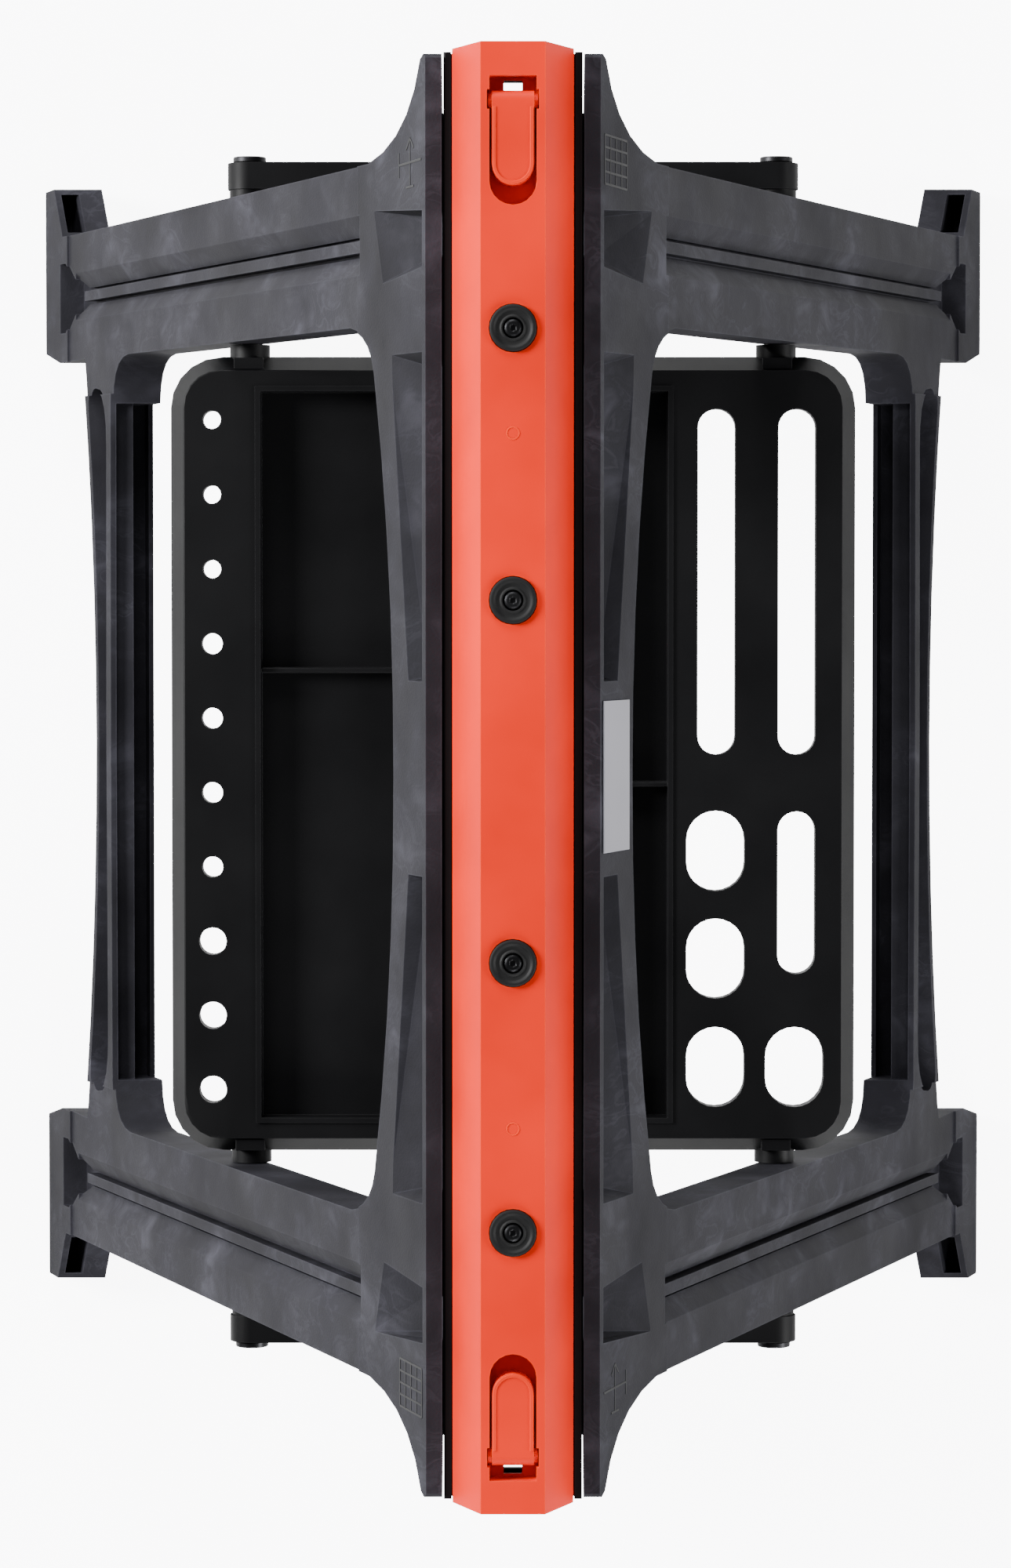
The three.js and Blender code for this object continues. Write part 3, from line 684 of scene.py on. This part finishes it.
class RowTree:
    """A geometry tree that repeats an object's own mesh along a line and dresses the copies."""

    def __init__(self) -> None:
        """Builds the tree once, with its named inputs."""
        self.tree = bpy.data.node_groups.new("row_of_parts", "GeometryNodeTree")
        face = self.tree.interface
        face.new_socket("Part", in_out="INPUT", socket_type="NodeSocketGeometry")
        self.ids = {}
        kinds = {"Count": "Int", "Start": "Vector", "Step": "Vector", "Material": "Material"}
        for label, kind in kinds.items():
            socket = face.new_socket(label, in_out="INPUT", socket_type=f"NodeSocket{kind}")
            self.ids[label] = socket.identifier
        face.new_socket("Row", in_out="OUTPUT", socket_type="NodeSocketGeometry")
        nodes = Nodes(self.tree)
        given = nodes.add("NodeGroupInput").outputs
        line = nodes.add("GeometryNodeMeshLine", {}, mode="OFFSET")
        for label, socket in (("Count", "Count"), ("Start", "Start Location"), ("Step", "Offset")):
            self.tree.links.new(given[label], line.inputs[socket])
        spots = {"Points": line.outputs[0], "Instance": given["Part"]}
        copies = nodes.add("GeometryNodeInstanceOnPoints", spots)
        whole = nodes.add("GeometryNodeRealizeInstances", {0: copies.outputs[0]})
        dressed = nodes.add("GeometryNodeSetMaterial", {"Geometry": whole.outputs[0]})
        self.tree.links.new(given["Material"], dressed.inputs["Material"])
        nodes.add("NodeGroupOutput", {0: dressed.outputs[0]})

    def grow(
        self,
        name: str,
        part: bpy.types.Mesh,
        count: int,
        start: Vector,
        step: Vector,
        material: bpy.types.Material,
    ) -> bpy.types.Object:
        """Repeats a part along a line.

        Args:
            name: The new piece's name.
            part: The mesh to repeat.
            count: How many there are.
            start: Place of the first one, in metres.
            step: From each one to the next, in metres.
            material: What they are made of.

        Returns:
            The row as one plain mesh object.
        """
        piece = add_object(name, part)
        modifier = piece.modifiers.new("row", "NODES")
        modifier.node_group = self.tree
        for label, value in (("Count", count), ("Start", start), ("Step", step), ("Material", material)):
            modifier[self.ids[label]] = value
        baked(piece)
        smooth(piece, ROW_SHARP)
        return piece


def merged(pieces: list[bpy.types.Object]) -> bpy.types.Object:
    """Joins pieces into the first one.

    Args:
        pieces: The pieces to join.

    Returns:
        The first piece, which holds them all.
    """
    body = bmesh.new()
    for piece in pieces:
        body.from_mesh(piece.data)
    body.to_mesh(pieces[0].data)
    body.free()
    for piece in pieces[1:]:
        bpy.data.objects.remove(piece)
    return pieces[0]


# ---------------------------------------------------------------- sub-assemblies
@dataclass
class Maker:
    """What every sub-assembly shares: the wardrobe and the tree that grows rows."""

    wardrobe: Wardrobe
    rows: RowTree

    def finish(self, piece: bpy.types.Object, body: str, slot: Slot) -> None:
        """Dresses a piece and lets it ride on a body.

        Args:
            piece: The piece to finish.
            body: The body that it moves with.
            slot: The slot whose finish it gets.
        """
        self.wardrobe.dress(piece, slot)
        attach(piece, body)
        LOG.info("%s rides on %s", piece.name, body)

    def mould(
        self, node: str, body: str, slot: Slot, radius: float, steps: int = 2, fold: float = 90.0
    ) -> None:
        """Makes a rounded piece for one node and finishes it."""
        self.finish(softened(node, f"{node}_moulding", radius, steps, fold), body, slot)


@dataclass
class TopBeam(Maker):
    """Top cap, spine, grip pads, screws and the two flip-up stops.

    Edges are in metres. Pads, rings and rims are in millimetres: the distances of pads and rings
    are from the middle of the beam, and profiles give radius and height.
    """

    cap_edge: float = 1.6 * MM
    spine_edge: float = 0.8 * MM
    stop_edge: float = 1.0 * MM
    screw_edge: float = 0.3 * MM
    hinge_pin_edge: float = 0.5 * MM
    pad_count: int = 4
    pad_near: float = 84.5
    pad_pitch: float = 126.2
    pad_sides: int = 40
    ring_at: float = 162.0
    ring_sides: int = 24
    ring_profile: tuple[tuple[float, float], ...] = (
        (2.5, 809.9), (3.2, 809.9), (3.05, 810.22), (2.65, 810.22),
    )
    rim: Rib = Rib(1.7, 809.3, 809.95)
    rim_reach: float = 8.7
    rim_middle: float = 286.6
    rim_root: float = 313.0
    rim_steps: int = 14
    pad_profile: tuple[tuple[float, float], ...] = (
        (2.9, 807.8), (10.3, 807.8), (11.0, 808.4), (11.0, 811.0), (10.8, 811.5), (10.3, 811.8),
        (9.4, 811.8), (8.9, 811.6), (8.5, 811.0), (8.0, 810.7), (6.3, 810.7), (5.9, 811.0),
        (5.5, 811.2), (5.0, 811.1), (4.9, 810.8), (4.9, 809.2), (2.9, 809.2),
    )

    def build(self) -> None:
        """Makes every piece of the beam."""
        self.mould("top_cap", "spine", Slot.CAP, self.cap_edge, steps=3)
        self.mould("spine_beam", "spine", Slot.BLACK, self.spine_edge)
        for end in End:
            where = end.name.lower()
            self.mould(f"end_stop_{where}", f"stop_{where}", Slot.CAP, self.stop_edge, steps=3)
            self.stop_rim(end)
        for i in range(self.pad_count):
            self.mould(f"pad_screw_{i + 1}", "spine", Slot.STEEL, self.screw_edge)
        self.grip_pads()
        self.gate_rings()
        for side in ("left", "right"):
            for end in End:
                pin = f"leg_hinge_pin_{side}_{end.name.lower()}"
                self.mould(pin, "spine", Slot.STEEL, self.hinge_pin_edge)

    def pair_of_rows(
        self,
        name: str,
        part: bpy.types.Mesh,
        slot: Slot,
        near: float,
        count: int = 1,
        pitch: float = 0.0,
    ) -> bpy.types.Object:
        """Repeats a part outward from both sides of the middle of the beam.

        Args:
            name: The new piece's name.
            part: The mesh to repeat.
            slot: The slot that the material belongs to.
            near: From the middle to the nearest one in millimetres.
            count: How many there are on each side.
            pitch: From each one to the next in millimetres.

        Returns:
            Both rows as one piece.
        """
        material = self.wardrobe.materials[slot]
        both = []
        for end in End:
            start = Vector((0, end.value * near * MM, 0))
            step = Vector((0, end.value * pitch * MM, 0))
            row_name = f"{name}_{end.name.lower()}"
            both.append(self.rows.grow(row_name, part.copy(), count, start, step, material))
        piece = merged(both)
        piece.name = name
        smooth(piece, ROW_SHARP)
        return piece

    def grip_pads(self) -> None:
        """Makes the four dished rubber pads."""
        part = turned(self.pad_profile, self.pad_sides)
        each_side = self.pad_count // 2
        pads = self.pair_of_rows("grip_pads", part, Slot.RUBBER, self.pad_near, each_side, self.pad_pitch)
        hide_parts(*(f"grip_pad_{i + 1}" for i in range(self.pad_count)))
        self.finish(pads, "spine", Slot.RUBBER)

    def gate_rings(self) -> None:
        """Makes the two faint moulding rings on the top of the cap."""
        part = turned(self.ring_profile, self.ring_sides)
        self.finish(self.pair_of_rows("gate_rings", part, Slot.CAP, self.ring_at), "spine", Slot.CAP)

    def stop_rim(self, end: End) -> None:
        """Makes the low border round one flip-up stop.

        Args:
            end: The end of the beam that the stop is at.
        """
        reach, middle, root = self.rim_reach, self.rim_middle, self.rim_root
        turns = [math.pi * i / self.rim_steps for i in range(self.rim_steps + 1)]
        arc = [(reach * math.cos(t), middle - reach * math.sin(t)) for t in turns]
        path = [(reach, root), *arc, (-reach, root)]
        mesh = swept([[(x, end.value * y) for x, y in path]], self.rim)
        rim = add_object(f"stop_rim_{end.name.lower()}", mesh)
        smooth(rim, RIM_SHARP)
        self.finish(rim, f"stop_{end.name.lower()}", Slot.CAP)


@dataclass
class LegFrame(Maker):
    """One moulded leg frame with its feet, its rail signs and, on the right, the label.

    Edges are in metres. Treads and signs are in millimetres. The lean is how far the outer face
    moves out for each step down.
    """

    side: str = "right"
    edge: float = 2.2 * MM
    smallest_fold: float = 8.0
    sole_edge: float = 1.0 * MM
    label_edge: float = 0.2 * MM
    lean: float = 0.328
    treads: int = 10
    tread_high: float = 1.3
    tread_inset: float = 2.5
    tread_wide: float = 4.2
    tread_lap: float = 0.3
    tread_clear: float = 0.02
    sign_bar: Rib = Rib(1.4, -0.2, 0.22)
    sign_wide: float = 11.5
    sign_tall: float = 18.0
    sign_head: float = 6.0
    sign_barb: float = 5.0
    sign_gaps: int = 4
    sign_y: float = 292.0
    sign_z: float = 757.0
    rail_top_x: float = 41.2
    rail_top_z: float = 780.0

    def build(self) -> None:
        """Makes the frame, its feet, its signs and its label."""
        body = f"leg_{self.side}"
        frame_node = f"leg_frame_{self.side}"
        self.mould(frame_node, body, Slot.LEG, self.edge, steps=3, fold=self.smallest_fold)
        for end in End:
            self.foot(end, body)
            self.rail_sign(end, body)
        if self.side == "right":
            self.mould("rail_label", body, Slot.LABEL, self.label_edge)

    @property
    def outward(self) -> int:
        """Returns the sign of X on this frame's side."""
        return 1 if self.side == "right" else -1

    def foot(self, end: End, body: str) -> None:
        """Makes one rubber foot: the sole, lifted off the floor, on a row of treads.

        Args:
            end: The end of the beam that the foot is at.
            body: The body that it moves with.
        """
        where = f"{self.side}_{end.name.lower()}"
        node = f"foot_pad_{where}"
        sole = softened(node, f"foot_sole_{where}", self.sole_edge)
        low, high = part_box(node)
        for vert in sole.data.vertices:
            vert.co.z = max(vert.co.z, self.tread_high * MM)
        pitch = (high[1] - low[1]) / self.treads
        middle = (low[0] + high[0]) / 2
        reach = (high[0] - low[0]) / 2 / MM - self.tread_inset
        tread = Rib(self.tread_wide, self.tread_high + self.tread_lap, self.tread_clear)
        bar = swept([[(-reach, 0.0), (reach, 0.0)]], tread)
        start, step = Vector((middle, low[1] + pitch / 2, 0)), Vector((0, pitch, 0))
        material = self.wardrobe.materials[Slot.RUBBER]
        row = self.rows.grow(f"foot_treads_{where}", bar, self.treads, start, step, material)
        self.finish(sole, body, Slot.RUBBER)
        self.finish(row, body, Slot.RUBBER)

    def sign_paths(self, hatched: bool) -> list[list[tuple[float, float]]]:
        """Draws one plain sign about its own middle.

        Args:
            hatched: True for a hatched panel, False for a crossed bar.

        Returns:
            The middle line of each of its bars in millimetres.
        """
        wide, tall, head, barb = self.sign_wide, self.sign_tall, self.sign_head, self.sign_barb
        if hatched:
            shares = [2 * i / self.sign_gaps - 1 for i in range(self.sign_gaps + 1)]
            paths = [[(share * wide, -tall), (share * wide, tall)] for share in shares]
            return paths + [[(-wide, share * tall), (wide, share * tall)] for share in shares]
        paths = [[(-wide, 0), (wide, 0)], [(0, -tall), (0, tall)], [(-wide, -head), (-wide, head)]]
        paths += [[(wide - barb, side * head), (wide, 0)] for side in (-1, 1)]
        return paths + [[(-head, tall), (head, tall)]]

    def rail_sign(self, end: End, body: str) -> None:
        """Moulds the plain sign near one end of the rail, on its leaning face.

        Args:
            end: The end of the beam that the sign is at.
            body: The body that it moves with.
        """
        mesh = swept(self.sign_paths(self.outward * end.value > 0), self.sign_bar)
        along = Vector((0, 1, 0))
        down = Vector((self.lean * self.outward, 0, -1)).normalized()
        out = Vector((self.outward, 0, self.lean)).normalized()
        x = self.outward * (self.rail_top_x + self.lean * (self.rail_top_z - self.sign_z))
        place = Matrix((along, down, out)).transposed().to_4x4()
        place.translation = Vector((x, end.value * self.sign_y, self.sign_z)) * MM
        mesh.transform(place)
        if place.determinant() < 0:
            mesh.flip_normals()
        sign = add_object(f"rail_sign_{self.side}_{end.name.lower()}", mesh)
        self.finish(sign, body, Slot.BLACK)


@dataclass
class ToolTray(Maker):
    """One half of the tray with its braces, pivots and pins. Edges are in metres."""

    side: str = "right"
    edge: float = 1.2 * MM
    brace_edge: float = 1.5 * MM
    bolt_edge: float = 0.6 * MM
    clip_edge: float = 0.4 * MM
    rivet_edge: float = 0.5 * MM
    pin_edge: float = 0.4 * MM

    def build(self) -> None:
        """Makes the tray half and everything that swings with it."""
        body = f"tray_{self.side}"
        self.mould(f"tray_{self.side}", body, Slot.BLACK, self.edge, steps=3)
        for end in End:
            where = f"{self.side}_{end.name.lower()}"
            self.mould(f"brace_{where}", body, Slot.BLACK, self.brace_edge, steps=3)
            self.mould(f"pivot_bolt_{where}", body, Slot.STEEL, self.bolt_edge)
            self.mould(f"pivot_clip_{where}", body, Slot.STEEL, self.clip_edge)
        self.mould(f"brace_rivet_{self.side}", body, Slot.STEEL, self.rivet_edge)
        for i in (1, 2):
            self.mould(f"tray_pin_{self.side}_{i}", body, Slot.STEEL, self.pin_edge)


# ---------------------------------------------------------------- studio
@dataclass(frozen=True)
class SoftBox:
    """One area light: where it stands, how large and how strong it is."""

    name: str
    place: tuple[float, float, float]
    size: float
    power: float

    def hang(self, target: Vector) -> None:
        """Makes the light and points it at the target.

        Args:
            target: The place that it points at.
        """
        data = bpy.data.lights.new(self.name, "AREA")
        data.shape = "DISK"
        data.size = self.size
        data.energy = self.power
        lamp = bpy.data.objects.new(self.name, data)
        lamp.location = self.place
        lamp.rotation_euler = (target - Vector(self.place)).to_track_quat("-Z", "Y").to_euler()
        bpy.context.scene.collection.objects.link(lamp)


@dataclass
class Studio:
    """Camera above the beam, soft lights at the sides and ends, and a pale floor.

    The tilt is in degrees. White is how bright the floor and the sky look to the camera only.
    """

    lens: float = 108.8
    sensor: float = 36.0
    camera_at: tuple[float, float, float] = (0.0, 0.0818, 3.013)
    tilt: tuple[float, float] = (-2.15, 0.09)
    white: float = 8.0
    sky_strength: float = 0.16
    floor_reach: float = 8.0
    aim: tuple[float, float, float] = (0.0, 0.0, 0.4)
    lights: tuple[SoftBox, ...] = (
        SoftBox("left_softbox", (-2.7, 0.9, 1.9), 1.2, 230.0),
        SoftBox("right_softbox", (2.7, -0.6, 1.7), 1.2, 90.0),
        SoftBox("rear_softbox", (-0.5, 2.9, 1.9), 1.2, 85.0),
        SoftBox("front_softbox", (0.4, -2.9, 1.9), 1.2, 75.0),
    )

    def build(self) -> None:
        """Makes the camera, the lights, the sky and the floor."""
        data = bpy.data.cameras.new("overhead_camera")
        data.lens = self.lens
        data.sensor_fit = "VERTICAL"
        data.sensor_height = self.sensor
        camera = bpy.data.objects.new("overhead_camera", data)
        camera.location = self.camera_at
        camera.rotation_euler = (math.radians(self.tilt[0]), math.radians(self.tilt[1]), 0.0)
        bpy.context.scene.collection.objects.link(camera)
        bpy.context.scene.camera = camera
        for light in self.lights:
            light.hang(Vector(self.aim))
        self.sky()
        self.floor()

    def sky(self) -> None:
        """Sets an even pale background that lights the object faintly and looks near white."""
        world = bpy.data.worlds.new("studio_air")
        world.use_nodes = True
        background = world.node_tree.nodes["Background"]
        background.inputs["Color"].default_value = (0.97, 0.98, 1.0, 1.0)
        nodes = Nodes(world.node_tree)
        seen = nodes.add("ShaderNodeLightPath").outputs["Is Camera Ray"]
        power = nodes.spread(seen, 0.0, 1.0, self.sky_strength, self.white)
        nodes.tree.links.new(power, background.inputs["Strength"])
        bpy.context.scene.world = world

    def floor(self) -> None:
        """Lays the pale floor."""
        mesh = bpy.data.meshes.new("floor")
        reach = self.floor_reach
        corners = [(-reach, -reach, 0.0), (reach, -reach, 0.0), (reach, reach, 0.0), (-reach, reach, 0.0)]
        mesh.from_pydata(corners, [], [(0, 1, 2, 3)])
        floor = add_object("floor", mesh)
        paint = bpy.data.materials.new("pale_floor")
        paint.use_nodes = True
        shader = paint.node_tree.nodes["Principled BSDF"]
        shader.inputs["Base Color"].default_value = (0.9, 0.9, 0.9, 1.0)
        shader.inputs["Roughness"].default_value = 0.9
        shader.inputs["Emission Color"].default_value = (0.98, 0.98, 1.0, 1.0)
        nodes = Nodes(paint.node_tree)
        seen = nodes.add("ShaderNodeLightPath").outputs["Is Camera Ray"]
        glow = nodes.math("MULTIPLY", seen, self.white)
        nodes.tree.links.new(glow, shader.inputs["Emission Strength"])
        mesh.materials.append(paint)


def main() -> None:
    """Builds the studio and every sub-assembly."""
    logging.basicConfig(level=logging.INFO, format="%(message)s")
    Studio().build()
    wardrobe, rows = Wardrobe(), RowTree()
    TopBeam(wardrobe, rows).build()
    for side in ("left", "right"):
        LegFrame(wardrobe, rows, side=side).build()
        ToolTray(wardrobe, rows, side=side).build()


if __name__ == "__main__":
    main()
